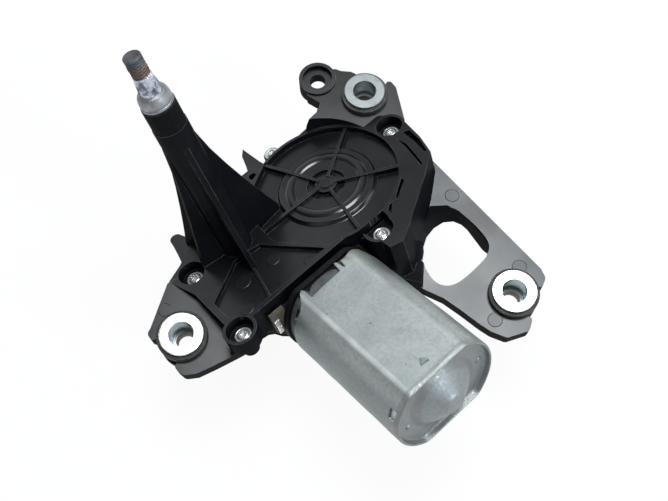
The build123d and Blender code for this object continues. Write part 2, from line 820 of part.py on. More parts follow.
def motor_can():
    # Drawn steel shell with a recessed end and a raised bearing dome.
    end_x = can_tail_x - can_rim_depth
    shell = motor_prism(can_section(0), can_front_x, can_tail_x)
    shell -= motor_prism(can_section(can_wall), can_front_x - overrun, end_x - can_wall)
    shell -= motor_prism(can_section(can_wall), end_x, can_tail_x + overrun)
    cone = Cone(dome_foot_r, dome_top_r, dome_h, align=(Align.CENTER, Align.CENTER, Align.MIN))
    shell += Pos(end_x - overrun / 2, worm_y, worm_z) * Rot(0, 90, 0) * cone
    shell += bar_x(end_x + dome_h - overrun, end_x + dome_h + dome_nub_h, dome_nub_r)
    return shell - bar_x(end_x - can_wall - overrun, end_x + dome_h - can_wall, tail_bearing_r)


magnet_half_deg = 50.0


def magnets():
    inner = can_section(can_wall) - Circle(core_r + magnet_gap)
    reach_out = 2 * can_half_width
    half = radians(magnet_half_deg)
    solids = []
    for side in (1, -1):
        wedge = outline([(0, 0), (side * reach_out * cos(half), -reach_out * sin(half)), (side * reach_out * cos(half), reach_out * sin(half))])
        start = can_front_x + core_start
        solids.append(motor_prism(inner & wedge, start - overrun, start + core_length + overrun))
    return solids


def magnet_clips(parts):
    # A thin spring on each flat side, held between the two magnets.
    low = can_front_x + core_start
    solids = []
    for side in (1, -1):
        height = can_half_height - can_wall
        strip = Pos(0, side * (height - clip_t / 2)) * Rectangle(2 * can_flat_half * 0.6, clip_t)
        solids.append(motor_prism(strip, low, low + core_length) - parts[0] - parts[1])
    return Compound(solids)


def armature_shaft():
    # Shaft with the rolled worm near its far end.
    worm_pitch = pi * gear_module
    length = worm_turns * worm_pitch
    low = wheel_x - length / 2
    root_r = worm_pitch_r - gear_module * dedendum_share
    half = worm_pitch / 4 - mesh_backlash / 4
    slope = tan(radians(pressure_deg))
    tip = half - gear_module * addendum_share * slope
    foot = half + gear_module * dedendum_share * slope
    depth = overrun / 4
    start_angle = 0
    path = Helix(worm_pitch, length, worm_pitch_r)
    plane = Plane(origin=path @ 0, x_dir=(1, 0, 0), z_dir=path % 0)
    top = worm_pitch_r + gear_module * addendum_share
    corners = [
        (root_r - depth - worm_pitch_r, -foot),
        (top - worm_pitch_r, -tip),
        (top - worm_pitch_r, tip),
        (root_r - depth - worm_pitch_r, foot),
    ]
    ridge = sweep(plane * outline(corners), path=path, is_frenet=True)
    core = Cylinder(root_r, length + 2 * worm_pitch, align=(Align.CENTER, Align.CENTER, Align.MIN))
    worm = Pos(0, 0, -worm_pitch) * core + ridge
    # Turned so that a ridge faces the wheel at the wheel's centre, where the wheel has a gap.
    turn = 90 - 180 * worm_turns
    worm = Pos(low, worm_y, worm_z) * Rot(0, 90, 0) * Rot(0, 0, turn) * worm
    nose = case_span * tunnel_end_share + touch_gap
    shaft = bar_x(nose, low - worm_pitch, shaft_r * 0.8)
    shaft += bar_x(low + length + worm_pitch, can_tail_x - can_rim_depth, shaft_r)
    return shaft + worm


slot_count = 12
slot_share = 0.42


def armature_core():
    face = Circle(core_r) - Circle(shaft_r)
    for k in range(slot_count):
        slot = Pos(core_r * 0.78, 0) * Rectangle(core_r * slot_share, core_r * 0.14)
        mouth = Pos(core_r, 0) * Rectangle(core_r * 0.2, core_r * 0.07)
        face -= Rot(0, 0, 360 * k / slot_count) * (slot + mouth)
    low = can_front_x + core_start
    return motor_prism(face, low, low + core_length)


def armature_windings():
    low = can_front_x + core_start
    ends = []
    for start in (low - winding_h, low + core_length):
        ends.append(ring_x(start, start + winding_h, core_r * 0.92, shaft_r))
    return Compound(ends)


def commutator():
    low = can_front_x + core_start - winding_h - commutator_length
    return ring_x(low, low + commutator_length, commutator_r, shaft_r)


brush_plate_t = 2.0
brush_width = 5.0
brush_height = 6.0
brush_length = 9.0


def brush_plate():
    low = can_front_x
    face = can_section(can_wall) - Circle(commutator_r + 4 * touch_gap)
    return motor_prism(face, low, low + brush_plate_t)


def brush_place(side, inner, outer, half_w, low, high):
    middle = (inner + outer) / 2
    block = Pos((low + high) / 2, worm_y + side * middle, worm_z) * Box(high - low, outer - inner, 2 * half_w)
    return block


def brush_sets():
    # Carbon brushes, their brass guides and their springs, one on each side of the commutator.
    low = can_front_x + brush_plate_t + case_wall / 2
    high = low + brush_height
    start = commutator_r + touch_gap
    end = start + brush_length
    brushes, guides, springs = [], [], []
    for side in (1, -1):
        half = brush_width / 2
        brushes.append(brush_place(side, start, end, half, low, high))
        skin = case_wall / 4
        shell = brush_place(side, start + case_wall, end + case_wall, half + skin, can_front_x + brush_plate_t, high + skin)
        hollow = brush_place(side, start, end + 2 * case_wall, half, low, high)
        guides.append(shell - hollow)
        spring = Pos((low + high) / 2, worm_y + side * end, worm_z) * Rot(-90 * side, 0, 0)
        coil = Cylinder(half * 0.7, case_wall, align=(Align.CENTER, Align.CENTER, Align.MIN))
        springs.append(spring * coil)
    return Compound(brushes), Compound(guides), Compound(springs)


plate_hole_r = 10.0
card_tongue_share = 0.12
card_inset = 3.5
card_lift = can_half_height * 0.47
tab_t = 0.8
tab_width = 6.5
tab_reach = 2.6


def end_plate():
    # Steel plate that closes the can's open end.
    return motor_prism(can_section(0) - Circle(plate_hole_r), end_plate_x, can_front_x)


def card_face(inset):
    # Outline of the card: it stays inside the flange but for the tongue below the motor's side.
    length = can_half_width * card_tongue_share + card_inset + overrun
    tongue = Rectangle(length, 2 * (tab_width - inset), align=(Align.MIN, Align.CENTER))
    return can_section(card_inset + inset) + Pos(-can_half_width * (1 + card_tongue_share) + inset, card_lift) * tongue


def terminal_card():
    # Insulating card between the case and the end plate; its tongue carries the two terminals.
    return motor_prism(card_face(0) - Circle(plate_hole_r), card_x, end_plate_x)


def motor_terminals():
    solids = []
    for side in (1, -1):
        middle = Pos(-can_half_width - touch_gap - tab_reach / 2, card_lift + tab_width * (side * 0.38 - 0.3))
        strip = middle * Rectangle(tab_reach, tab_width * 0.68)
        solids.append(motor_prism(strip, end_plate_x, end_plate_x + tab_t))
    return Compound(solids)


choke_r = 2.4
choke_length = 9.0
choke_spread = core_r * 0.65
choke_lift = can_half_height * 0.65


def chokes():
    # Two interference chokes standing on the brush plate.
    low = can_front_x + brush_plate_t
    solids = []
    for side in (1, -1):
        face = Pos(side * choke_spread, choke_lift) * Circle(choke_r)
        solids.append(motor_prism(face, low, low + choke_length))
    return Compound(solids)


contact_r = 1.2
contact_spread_shares = [0.12, 0.17, 0.22]
contact_deg = 150.0


def park_contacts():
    # Three contact fingers under the roof, just clear of the disc on the wheel.
    low = worm_z + wheel_web_t / 2 + park_disc_t + touch_gap
    turn = radians(contact_deg)
    solids = []
    for share in contact_spread_shares:
        out = case_span * share
        place = (wheel_x + out * cos(turn), wheel_y + out * sin(turn))
        solids.append(rod(place, low, roof_z, contact_r))
    return Compound(solids)


socket_length = 17.0
socket_width = 20.0
socket_height = 13.0
socket_wall = 1.6
socket_middle_share = 0.60
socket_lift = 1.5
pin_count = 4
pin_length = 8.0
pin_t = 0.8
socket_wall_share = -0.45
socket_middle_z = case_base_z + socket_lift + socket_height / 2


def socket_block(start, end, width, height):
    middle = Pos((start + end) / 2, case_span * socket_middle_share, socket_middle_z)
    return middle * Box(end - start, width, height)


def connector_socket():
    root = case_span * socket_wall_share
    mouth = root - socket_length
    inner_w = socket_width - 2 * socket_wall
    inner_h = socket_height - 2 * socket_wall
    shell = socket_block(mouth, root, socket_width, socket_height)
    shell -= socket_block(mouth - overrun, root - 2 * socket_wall, inner_w, inner_h)
    latch = Pos(mouth + socket_wall, case_span * socket_middle_share, socket_middle_z + socket_height / 2)
    return shell + latch * Box(2 * socket_wall, 2 * socket_wall, socket_wall)


def connector_pins():
    root = case_span * socket_wall_share - 2 * socket_wall
    step = (socket_width - 2 * socket_wall) / pin_count
    solids = []
    for k in range(pin_count):
        middle = Pos(0, step * (k - (pin_count - 1) / 2), 0)
        solids.append(middle * socket_block(root - pin_length, root, 2 * pin_t, pin_t))
    return Compound(solids)


def bearings():
    front = ring_x(motor_wall_x - 2 * case_wall, motor_wall_x + case_wall, worm_tunnel_r, shaft_r + run_gap)
    end_x = can_tail_x - can_rim_depth
    tail = ring_x(end_x - can_wall - touch_gap, end_x + dome_h - can_wall, tail_bearing_r, shaft_r + run_gap)
    nose = case_span * tunnel_end_share
    far = ring_x(nose, nose + 2 * case_wall, worm_tunnel_r, shaft_r * 0.8 + run_gap)
    return front, tail, far


# Write one file for each piece

def write_parts(parts):
    os.makedirs("parts", exist_ok=True)
    for name, shape in parts.items():
        export_step(shape, "parts/" + name + ".step")


def build():
    parts = {}
    for name, place in (("a", bush_a), ("b", bush_b), ("c", bush_c)):
        parts["fixing_sleeve_" + name] = sleeve(place)
        parts["rubber_grommet_" + name] = grommet(place)
    gearbox = {}
    gearbox["gear_housing"] = gear_housing()
    gearbox["rear_cover"] = rear_cover()
    gearbox["cover_gasket"] = cover_gasket()
    gearbox["cover_screws"] = cover_screws()
    gearbox["lower_bush"] = tube(tower, lower_bush_base_z, lower_bush_base_z + bush_length, bush_r, spindle_r + run_gap)
    upper_r = bush_r - case_wall / 6
    gearbox["upper_bush"] = tube(tower, upper_bush_top_z - bush_length, upper_bush_top_z, upper_r, spindle_r + run_gap)
    gearbox["spindle_seal"] = tube(tower, upper_bush_top_z, tower_top_z, upper_r, spindle_r + run_gap)
    gearbox["output_spindle"] = output_spindle()
    gearbox["spindle_cap"] = spindle_cap()
    gearbox["spindle_pinion"] = spindle_pinion()
    gearbox["sector_link"] = sector_link()
    gearbox["keeper_plate"] = keeper_plate()
    gearbox["sector_pin"] = sector_pin()
    gearbox["worm_wheel"] = worm_wheel()
    gearbox["crank_pin"] = crank_pin()
    gearbox["park_disc"] = park_disc()
    gearbox["wheel_axle"] = wheel_axle()
    gearbox["axle_clip"] = axle_clip()
    gearbox["motor_can"] = motor_can()
    magnet_pair = magnets()
    gearbox["magnets"] = Compound([m.solids()[0] for m in magnet_pair])
    gearbox["magnet_clips"] = magnet_clips(magnet_pair)
    gearbox["armature_shaft"] = armature_shaft()
    gearbox["armature_core"] = armature_core()
    gearbox["armature_windings"] = armature_windings()
    gearbox["commutator"] = commutator()
    gearbox["brush_plate"] = brush_plate()
    gearbox["brushes"], gearbox["brush_guides"], gearbox["brush_springs"] = brush_sets()
    gearbox["front_bearing"], gearbox["tail_bearing"], gearbox["nose_bearing"] = bearings()
    gearbox["motor_end_plate"] = end_plate()
    gearbox["terminal_card"] = terminal_card()
    gearbox["motor_terminals"] = motor_terminals()
    gearbox["chokes"] = chokes()
    gearbox["park_contacts"] = park_contacts()
    gearbox["connector_socket"] = connector_socket()
    gearbox["connector_pins"] = connector_pins()
    for name, shape in gearbox.items():
        parts[name] = from_gearbox(shape)
    return parts


write_parts(build())
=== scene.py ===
import bmesh
import bpy
import json
from math import cos, pi, radians, sin
from mathutils import Matrix, Vector, noise


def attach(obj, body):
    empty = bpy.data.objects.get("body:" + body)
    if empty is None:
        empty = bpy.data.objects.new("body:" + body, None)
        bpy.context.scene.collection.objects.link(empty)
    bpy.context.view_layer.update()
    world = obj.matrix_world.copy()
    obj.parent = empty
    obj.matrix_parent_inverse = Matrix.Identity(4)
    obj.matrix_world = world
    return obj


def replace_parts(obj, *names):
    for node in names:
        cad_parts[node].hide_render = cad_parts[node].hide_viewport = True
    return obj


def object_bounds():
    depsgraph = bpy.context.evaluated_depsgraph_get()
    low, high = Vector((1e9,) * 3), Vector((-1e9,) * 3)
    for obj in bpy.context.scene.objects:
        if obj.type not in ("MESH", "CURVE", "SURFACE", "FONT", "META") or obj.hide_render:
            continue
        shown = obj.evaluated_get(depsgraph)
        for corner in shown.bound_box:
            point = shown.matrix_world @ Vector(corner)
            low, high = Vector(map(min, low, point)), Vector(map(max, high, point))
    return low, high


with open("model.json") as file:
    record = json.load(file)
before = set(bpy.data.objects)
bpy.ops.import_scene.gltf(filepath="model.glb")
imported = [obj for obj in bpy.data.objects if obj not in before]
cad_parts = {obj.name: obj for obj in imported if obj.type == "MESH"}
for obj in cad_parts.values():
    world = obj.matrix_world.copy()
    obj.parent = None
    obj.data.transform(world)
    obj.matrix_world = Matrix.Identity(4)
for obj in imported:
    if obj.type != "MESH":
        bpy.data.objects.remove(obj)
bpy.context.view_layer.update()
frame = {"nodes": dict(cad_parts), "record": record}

# Camera of the photograph, in the mounting frame, in metres

camera_place = Vector((0.14532, -0.02205, 0.39427))
camera_right = Vector((0.6718354, 0.74060013, -0.02395653))
camera_up = Vector((-0.67776332, 0.62730144, 0.38415478))
camera_back = Vector((0.29953305, -0.24170783, 0.92297283))
camera_lens = 47.43
film_width = 36
nearest_view = 0.01

# Two sets of axes: the fixing lugs lie level, and the gear case leans against them

mm = 0.001
mount_tilt = radians(20)
lugs = Matrix.Identity(4)
gear = Matrix.Rotation(-mount_tilt, 4, "Y")
lugs_up = (0, 0, 1)
row_way = (0, 1, 0)
case_up = (-sin(mount_tilt), 0, cos(mount_tilt))
motor_way = (cos(mount_tilt), 0, sin(mount_tilt))


class Signal:
    # One output socket of a finish. Sums on it add Math nodes.
    def __init__(self, finish, socket):
        self.finish = finish
        self.socket = socket

    def math(self, operation, *others):
        values = dict(enumerate((self, *others)))
        return self.finish.node("ShaderNodeMath", {"operation": operation}, values)

    def __add__(self, other):
        return self.math("ADD", other)

    __radd__ = __add__

    def __sub__(self, other):
        return self.math("SUBTRACT", other)

    def __rsub__(self, other):
        return self.finish.node("ShaderNodeMath", {"operation": "SUBTRACT"}, {0: other, 1: self})

    def __mul__(self, other):
        return self.math("MULTIPLY", other)

    __rmul__ = __mul__

    def over(self, low, high):
        # 0 below low, 1 above high, smooth between.
        settings = {"interpolation_type": "SMOOTHSTEP", "clamp": True}
        values = {"Value": self, "From Min": low, "From Max": high}
        return self.finish.node("ShaderNodeMapRange", settings, values)


class Finish:
    # A material whose shader is a Principled BSDF, with a short way to add nodes.
    def __init__(self, name):
        self.material = bpy.data.materials.new(name)
        self.material.use_nodes = True
        self.tree = self.material.node_tree
        self.tree.nodes.clear()
        self.shader = self.tree.nodes.new("ShaderNodeBsdfPrincipled")
        self.output = self.tree.nodes.new("ShaderNodeOutputMaterial")
        self.put(self.output.inputs["Surface"], Signal(self, self.shader.outputs[0]))

    def put(self, socket, value):
        if isinstance(value, Signal):
            self.tree.links.new(value.socket, socket)
        else:
            socket.default_value = value

    def node(self, kind, settings=None, values=None, output=0):
        # Adds one node: its settings first, then the values or links of its sockets.
        made = self.tree.nodes.new(kind)
        for key, value in (settings or {}).items():
            setattr(made, key, value)
        for key, value in (values or {}).items():
            self.put(made.inputs[key], value)
        return Signal(self, made.outputs[output])

    def set(self, **values):
        for key, value in values.items():
            name = key.replace("_", " ").title().replace("Ior", "IOR")
            self.put(self.shader.inputs[name], value)
        return self

    def place(self):
        return self.node("ShaderNodeTexCoord", output="Object")

    def normal(self):
        return self.node("ShaderNodeNewGeometry", output="Normal")

    def noise(self, scale, detail, roughness, stretch=None):
        where = self.place()
        if stretch:
            where = self.node("ShaderNodeMapping", None, {"Vector": where, "Scale": stretch})
        values = {"Vector": where, "Scale": scale, "Detail": detail, "Roughness": roughness}
        return self.node("ShaderNodeTexNoise", None, values)

    def dot(self, first, second):
        settings = {"operation": "DOT_PRODUCT"}
        return self.node("ShaderNodeVectorMath", settings, {0: first, 1: second}, output="Value")

    def rounded(self, radius):
        # The surface normal with its edges softened.
        return self.node("ShaderNodeBevel", {"samples": 4}, {"Radius": radius})

    def edge(self, radius):
        # 1 on edges, 0 on flat stretches.
        return (1 - self.dot(self.rounded(radius), self.normal())).over(0.01, 0.12)

    def along(self, direction):
        # Distance from the frame's origin in that direction, in metres.
        return self.dot(self.place(), direction)

    def facing(self, direction):
        # 1 where the surface faces that way, 0 from 90 degrees off.
        return self.dot(self.normal(), direction).over(0, 1)

    def mix(self, mask, first, second):
        # The first colour where the mask is 0, the second where it is 1.
        # A Mix node has its colours on inputs 6 and 7 and their blend on output 2.
        colours = [c if isinstance(c, Signal) else (*c, 1) for c in (first, second)]
        settings = {"data_type": "RGBA", "clamp_factor": True}
        return self.node("ShaderNodeMix", settings, {0: mask, 6: colours[0], 7: colours[1]}, 2)

    def bump(self, height, distance, strength, below=None):
        values = {"Height": height, "Distance": distance, "Strength": strength}
        if below:
            values["Normal"] = below
        return self.node("ShaderNodeBump", None, values)


# Finishes

def moulded_plastic(name, dark, pale, rough=0.34, sheen=0.09, edge_highlight_share=0.7):
    # Black glass-filled plastic: fine grain, faint flow marks, dust in patches, and a painted
    # highlight in patches along the edges.
    # Faces that look up have been handled, so they shine most; sheen is the least shine.
    # Pale grey painted along the edges: a painted highlight where rounded edges would catch the
    # light.
    edge_highlight_grey = (0.17, 0.176, 0.19)
    edge_width = 0.0005
    sink_height = 0.0011
    grain_height = 0.00005
    f = Finish(name)
    dust = f.noise(scale=28, detail=5, roughness=0.6).over(0.42, 0.72)
    grain = f.noise(scale=900, detail=2, roughness=0.5)
    flow = f.noise(scale=60, detail=3, roughness=0.5, stretch=(1, 1, 0.25)).over(0.35, 0.75)
    sinks = f.noise(scale=42, detail=2, roughness=0.5)
    level = f.facing(lugs_up).over(0.66, 0.985)
    wiped = f.noise(scale=34, detail=4, roughness=0.6).over(0.30, 0.62)
    deck = f.facing(case_up).over(0.992, 0.9995)
    wheel_side = f.along(row_way).over(0.075, 0.12)
    shine = level * (0.72 + wiped * 0.28) * (1 - deck * (wheel_side * 0.45 - 0.12))
    patches = f.noise(scale=90, detail=3, roughness=0.5).over(0.4, 0.6)
    # Painted edge highlight, broken into patches.
    edge_highlight = f.edge(edge_width) * (0.25 + patches * 0.75)
    colour = f.mix(edge_highlight * edge_highlight_share, f.mix(dust * 0.6, dark, pale), edge_highlight_grey)
    wavy = f.bump(sinks, sink_height, 0.6, f.rounded(edge_width))
    f.set(base_color=colour, roughness=rough - dust * 0.05 + flow * 0.1)
    f.set(normal=f.bump(grain, grain_height, 0.5, wavy), specular_ior_level=0.0)
    f.set(coat_weight=shine * (1 - sheen) + sheen, coat_roughness=rough - 0.04, coat_ior=1.6)
    return f.material


def worn_rubber(name, dark, pale):
    pore_height = 0.00012
    edge_width = 0.0008
    f = Finish(name)
    scuff = f.noise(scale=180, detail=4, roughness=0.6).over(0.45, 0.75)
    pores = f.noise(scale=700, detail=3, roughness=0.6)
    f.set(base_color=f.mix(scuff, dark, pale), roughness=0.62 + scuff * 0.15)
    return f.set(normal=f.bump(pores, pore_height, 0.6, f.rounded(edge_width))).material


def zinc_plate(name, colour, stain, rough=0.24):
    # Bright zinc: cloudy plating with a few duller scratches.
    ripple_height = 0.00003
    edge_width = 0.0005
    f = Finish(name)
    cloud = f.noise(scale=160, detail=4, roughness=0.6).over(0.4, 0.75)
    scratch = f.noise(scale=900, detail=3, roughness=0.6, stretch=(0.1, 1, 1)).over(0.58, 0.75)
    ripple = f.noise(scale=300, detail=2, roughness=0.5)
    f.set(base_color=f.mix(cloud * 0.5 + scratch * 0.3, colour, stain), metallic=0.9)
    f.set(roughness=rough + cloud * 0.12 + scratch * 0.1)
    return f.set(normal=f.bump(ripple, ripple_height, 0.25, f.rounded(edge_width))).material


def bush_steel(name, ring, cloudy, rough=0.26):
    # Plated sleeve: bright ring, blue-grey bore, and painted brown shade in the lower hole.
    bore_blue = (0.30, 0.38, 0.40)
    hole_shade_brown = (0.17, 0.12, 0.07)
    bore_heights = (-0.0016, -0.0006)
    hole_heights = (-0.0122, -0.0112)
    ripple_height = 0.00004
    edge_width = 0.0005
    f = Finish(name)
    cloud = f.noise(scale=160, detail=4, roughness=0.6).over(0.4, 0.75)
    ripple = f.noise(scale=500, detail=2, roughness=0.5)
    height = f.along(lugs_up)
    bore = 1 - height.over(*bore_heights)
    hole = 1 - height.over(*hole_heights)
    colour = f.mix(bore * 0.85, f.mix(cloud * 0.5, ring, cloudy), bore_blue)
    # Painted shade: the lower hole turns brown and less metallic, for the shadowed floor seen down
    # it.
    f.set(base_color=f.mix(hole * 0.9, colour, hole_shade_brown), metallic=0.9 - hole * 0.7)
    f.set(roughness=rough + cloud * 0.12 + hole * 0.3)
    return f.set(normal=f.bump(ripple, ripple_height, 0.4, f.rounded(edge_width))).material


def drawn_steel(name):
    # The can: dull zinc coat with fine mottling, painted shade on the sides, a painted highlight on
    # the bends, brown patches towards the bottom, painted shade on the tail rim, small stains.
    zinc, pale_zinc = (0.40, 0.44, 0.44), (0.48, 0.51, 0.51)
    mottle_grey, blotch_grey = (0.27, 0.30, 0.29), (0.50, 0.53, 0.47)
    side_shade_grey, bend_highlight_white = (0.17, 0.19, 0.205), (0.86, 0.89, 0.89)
    corner_brown, low_brown = (0.17, 0.165, 0.10), (0.16, 0.15, 0.125)
    rim_shade_brown, stain_brown = (0.20, 0.19, 0.18), (0.09, 0.08, 0.065)
    axis_place = 0.0659
    bend_place = 0.0152
    bend_widths = (0.0002, 0.0020)
    highlight_stretch = (0.056, 0.076)
    front_stretch = (0.0325, 0.0385)
    corner_stretch = (0.076, 0.081)
    low_heights = (-0.040, -0.012)
    rim_starts = (0.1042, 0.1047)
    rim_ends = (0.1071, 0.1074)
    mottle_height = 0.00005
    edge_width = 0.0008
    flat_up = (-0.34, 0, 0.94)

    f = Finish(name)
    cloud = f.noise(scale=45, detail=6, roughness=0.62).over(0.32, 0.72)
    mottle = f.noise(scale=560, detail=5, roughness=0.8).over(0.43, 0.58)
    blotch = f.noise(scale=140, detail=4, roughness=0.6).over(0.42, 0.66)
    upper = f.facing(flat_up).over(0.55, 0.85)
    colour = f.mix(cloud, zinc, pale_zinc)
    colour = f.mix(mottle * 0.45, colour, mottle_grey)
    colour = f.mix(blotch * 0.22, colour, blotch_grey)
    # Painted shade: faces that do not look up are darkened towards blue-grey.
    colour = f.mix((1 - upper) * 0.62, colour, side_shade_grey)

    # Painted highlight: a pale, less metallic band along the bends of the upper flat, where they
    # would catch the light, strongest towards the left.
    across = (f.along(row_way) - axis_place).math("ABSOLUTE")
    bend = 1 - (across - bend_place).math("ABSOLUTE").over(*bend_widths)
    left = 1 - f.along(row_way).over(*highlight_stretch)
    wear_and_highlight = bend * upper * (0.45 + cloud * 0.45) * (0.25 + left * 0.75)
    colour = f.mix(wear_and_highlight, colour, bend_highlight_white)

    front = 1 - f.along(motor_way).over(*front_stretch)
    corner = front * f.along(row_way).over(*corner_stretch) * (0.4 + blotch * 0.6)
    colour = f.mix(corner * 0.75, colour, corner_brown)

    # Brown patches, darker towards the bottom of the can.
    low = 1 - f.along(lugs_up).over(*low_heights)
    low_patches = f.noise(scale=30, detail=6, roughness=0.68).over(0.42, 0.66) * low
    colour = f.mix(low_patches * 0.6, colour, low_brown)

    # Painted shade: the tail rim is darkened towards brown.
    rim = f.along(motor_way).over(*rim_starts) * (1 - f.along(motor_way).over(*rim_ends))
    colour = f.mix(rim * 0.35, colour, rim_shade_brown)

    spots = f.noise(scale=520, detail=2, roughness=0.5).over(0.715, 0.74)
    stain = spots * f.noise(scale=70, detail=3, roughness=0.6).over(0.50, 0.58)
    colour = f.mix(stain * 0.85, colour, stain_brown)

    f.set(base_color=colour, metallic=0.75 - stain * 0.6 - wear_and_highlight * 0.35 - corner * 0.4)
    f.set(roughness=0.42 + cloud * 0.1 - bend * upper * 0.08 + mottle * 0.05)
    return f.set(normal=f.bump(mottle, mottle_height, 0.5, f.rounded(edge_width))).material


def worn_spindle(name):
    # Blue-white worn knurls on the taper, browned thread above, grey end face.
    valley_blue, crest_white = (0.16, 0.18, 0.24), (0.66, 0.68, 0.76)
    end_grey, end_dark = (0.10, 0.105, 0.115), (0.055, 0.055, 0.058)
    thread_brown, thread_dark = (0.17, 0.125, 0.095), (0.075, 0.055, 0.045)
    thread_starts = (0.1156, 0.1162)
    brown_starts = (0.1160, 0.1168)
    brown_ends = (0.1206, 0.1216)
    pit_height = 0.00012
    f = Finish(name)
    height = f.along(case_up)
    thread = height.over(*thread_starts)
    brown = height.over(*brown_starts) - height.over(*brown_ends)
    wear_and_highlight = f.noise(scale=210, detail=4, roughness=0.6).over(0.42, 0.58)
    rust = f.noise(scale=260, detail=5, roughness=0.65).over(0.40, 0.66)
    pits = f.noise(scale=800, detail=4, roughness=0.6)
    dull = f.mix(brown, f.mix(rust, end_grey, end_dark), f.mix(rust, thread_brown, thread_dark))
    colour = f.mix(thread, f.mix(wear_and_highlight, valley_blue, crest_white), dull)
    f.set(base_color=colour, metallic=0.8 - thread * 0.5)
    f.set(roughness=0.34 + rust * 0.12 + thread * 0.18)
    return f.set(normal=f.bump(pits, pit_height, 0.6)).material


def plain_metal(name, colour, rough):
    edge_width = 0.0003
    f = Finish(name)
    wear = f.noise(scale=300, detail=3, roughness=0.55).over(0.4, 0.75)
    darker = tuple(c * 0.7 for c in colour)
    f.set(base_color=f.mix(wear, colour, darker), metallic=0.95, normal=f.rounded(edge_width))
    return f.set(roughness=rough + wear * 0.12).material


def board(name, colour, fleck):
    # Pressed or moulded stock with flecks: card, nylon, ferrite and carbon.
    fleck_height = 0.0001
    f = Finish(name)
    speck = f.noise(scale=420, detail=5, roughness=0.7).over(0.5, 0.68)
    f.set(base_color=f.mix(speck, colour, fleck), roughness=0.6)
    return f.set(normal=f.bump(speck, fleck_height, 0.5)).material


case_dark = (0.0052, 0.0055, 0.0068)
case_pale = (0.013, 0.0135, 0.016)

finishes = {
    "housing_plastic": moulded_plastic("case_black", case_dark, case_pale),
    "cover_plastic": moulded_plastic(
        "cover_black", (0.012, 0.012, 0.013), (0.026, 0.026, 0.028), rough=0.5),
    "socket_plastic": moulded_plastic(
        "socket_grey", (0.04, 0.04, 0.045), (0.07, 0.07, 0.075), rough=0.5),
    "gasket_rubber": worn_rubber("gasket_black", (0.012, 0.012, 0.012), (0.03, 0.03, 0.03)),
    "grommet_rubber": worn_rubber("grommet_brown", (0.022, 0.020, 0.018), (0.085, 0.08, 0.076)),
    "zinc_steel": zinc_plate("bright_zinc", (0.82, 0.84, 0.84), (0.55, 0.57, 0.56)),
    "spindle_steel": worn_spindle("spindle_dark"),
    "cap_metal": plain_metal("cap_silver", (0.34, 0.35, 0.37), 0.5),
    "can_steel": drawn_steel("can_zinc"),
    "bright_tab": plain_metal("tab_tin", (0.80, 0.80, 0.77), 0.25),
    "card_brown": board("card_brown", (0.075, 0.065, 0.048), (0.13, 0.115, 0.09)),
    "gear_nylon": board("wheel_nylon", (0.62, 0.59, 0.52), (0.55, 0.52, 0.45)),
    "gear_steel": plain_metal("gear_grey", (0.45, 0.45, 0.46), 0.35),
    "bronze": plain_metal("sintered_bronze", (0.50, 0.33, 0.16), 0.5),
    "ferrite": board("magnet_dark", (0.045, 0.045, 0.05), (0.07, 0.07, 0.075)),
    "lamination": plain_metal("core_sheet", (0.30, 0.30, 0.31), 0.45),
    "copper": plain_metal("coil_copper", (0.60, 0.26, 0.12), 0.35),
    "carbon": board("brush_carbon", (0.03, 0.03, 0.03), (0.05, 0.05, 0.05)),
    "spring_steel": plain_metal("spring_bright", (0.55, 0.55, 0.56), 0.3),
    "choke_ferrite": board("choke_dark", (0.06, 0.05, 0.05), (0.10, 0.09, 0.08)),
}

bush_finish = bush_steel("bush_zinc", (0.68, 0.70, 0.70), (0.50, 0.52, 0.51))
# Sleeve B: a darker, rougher copy of the sleeve finish; its darker colour is painted shade for the
# lesser light it catches.
shaded_bush_finish = bush_steel("bush_shaded", (0.27, 0.29, 0.29), (0.17, 0.185, 0.185), rough=0.42)
neck_finish = plain_metal("neck_dull", (0.17, 0.175, 0.18), 0.55)
# Near-black painted shadow on the end plate's ring at the can's front, for the shade between can and
# case; the brush plate shares it.
plate_shadow_finish = plain_metal("plate_shadow_dark", (0.022, 0.023, 0.026), 0.6)
mark_finish = moulded_plastic("mark_black", case_dark, case_pale, rough=0.38, edge_highlight_share=0.0)
bead_finish = moulded_plastic(
    "bead_black", (0.006, 0.006, 0.0065), (0.012, 0.012, 0.013), rough=0.24, sheen=0.8)
pocket_finish = plain_metal("pocket_blue", (0.50, 0.58, 0.64), 0.35)

special_finishes = {
    "fixing_sleeve_a": bush_finish,
    "fixing_sleeve_b": shaded_bush_finish,
    "fixing_sleeve_c": bush_finish,
    "motor_end_plate": plate_shadow_finish,
    "brush_plate": plate_shadow_finish,
}


def dress_nodes():
    # Gives every carried-over node its own finish, or that of its slot.
    slot_of = {s["node"]: s["material_slot"] for s in frame["record"]["subparts"]}
    for node, thing in frame["nodes"].items():
        thing.data.materials.clear()
        thing.data.materials.append(special_finishes.get(node) or finishes[slot_of[node]])


# Ways to make a piece, in millimetres along the axes of the gear case or of the lugs

def keep(name, work, body, slot, crease=35, axes=gear, finish=None):
    # Turns a drawn mesh into a piece of the part. Edges sharper than the crease stay sharp.
    mesh = bpy.data.meshes.new(name)
    bmesh.ops.recalc_face_normals(work, faces=work.faces)
    work.to_mesh(mesh)
    work.free()
    mesh.transform(axes @ Matrix.Scale(mm, 4))
    mesh.polygons.foreach_set("use_smooth", [True] * len(mesh.polygons))
    mesh.set_sharp_from_angle(angle=radians(crease))
    mesh.materials.append(finish or finishes[slot])
    thing = bpy.data.objects.new(name, mesh)
    bpy.context.scene.collection.objects.link(thing)
    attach(thing, body)
    return thing


